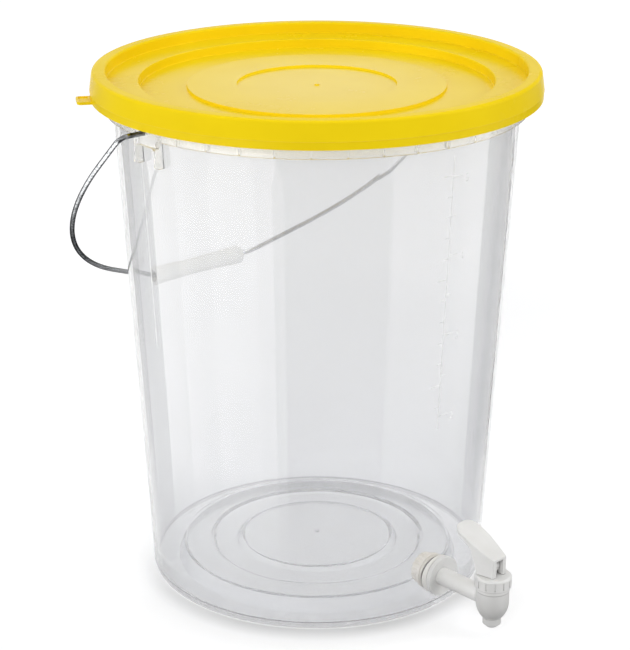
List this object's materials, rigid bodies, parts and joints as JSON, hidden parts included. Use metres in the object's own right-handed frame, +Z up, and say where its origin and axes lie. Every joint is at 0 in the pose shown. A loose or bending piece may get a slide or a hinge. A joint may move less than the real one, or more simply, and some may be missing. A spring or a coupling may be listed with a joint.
{
  "type": "dispensing pail",
  "caption": "Tall clear pail with a lift-off yellow lid, a steel wire bail with a turning white grip, and a white lever tap low on its wall.",
  "frame": {"origin": "on the floor at the pail's own axis, in the plane that the pail stands on", "axes": "+Z up along the pail's axis, X along the line through the bail's two pivots, -Y towards the side with the tap, which is turned 3 degrees from it towards +X"},
  "size_m": [0.3558, 0.3583, 0.3847],
  "materials": {
    "clear_plastic": "clear moulded plastic, smooth",
    "yellow_plastic": "smooth moulded plastic",
    "bright_wire": "bright drawn wire",
    "white_grip": "satin moulded plastic",
    "white_plastic": "satin moulded plastic",
    "pale_rubber": "soft matt seal",
    "beige_rubber": "soft matt seal",
    "beige_plastic": "satin moulded plastic"
  },
  "bodies": {
    "pail": {"bucket_shell": "clear_plastic", "tap_body": "white_plastic", "outer_washer": "pale_rubber", "inner_washer": "beige_rubber", "backing_nut": "beige_plastic", "bonnet_ring": "white_plastic"},
    "lid": {"lid": "yellow_plastic"},
    "bail": {"bail_wire": "bright_wire"},
    "grip": {"grip": "white_grip"},
    "valve_turn": {"valve_spring": "bright_wire"},
    "stem": {"valve_stem": "white_plastic", "seat_cup": "pale_rubber"},
    "lever": {"lever": "white_plastic", "lever_pin": "white_plastic"}
  },
  "joints": [
    {"name": "lid_lift", "type": "slide", "parent": "pail", "child": "lid", "axis": [0, 0, 1], "range_m": [0, 0.06]},
    {"name": "bail_swing", "type": "hinge", "parent": "pail", "child": "bail", "pos_m": [0, 0, 0.3605], "axis": [1, 0, 0], "range_deg": [0, 276]},
    {"name": "grip_spin", "type": "hinge", "parent": "bail", "child": "grip", "pos_m": [-0.007, 0.14398, 0.1995], "axis": [1, 0, 0], "continuous": true},
    {"name": "lever_turn", "type": "hinge", "parent": "pail", "child": "valve_turn", "pos_m": [0.00959, -0.18294, 0.0284], "axis": [0, 0, 1], "continuous": true},
    {"name": "stem_lift", "type": "slide", "parent": "valve_turn", "child": "stem", "axis": [0, 0, 1], "range_m": [0, 0.0023], "deforming": ["valve_spring"]},
    {"name": "lever_tip", "type": "hinge", "parent": "stem", "child": "lever", "pos_m": [0.00959, -0.18294, 0.0556], "axis": [-0.9986, -0.0523, 0], "range_deg": [0, 20], "stiffness_Nm_per_rad": 0.15, "springref_deg": -17.19}
  ],
  "couplings": [
    {"joint": "stem_lift", "follows": "lever_tip", "m_per_rad": 0.0065}
  ]
}
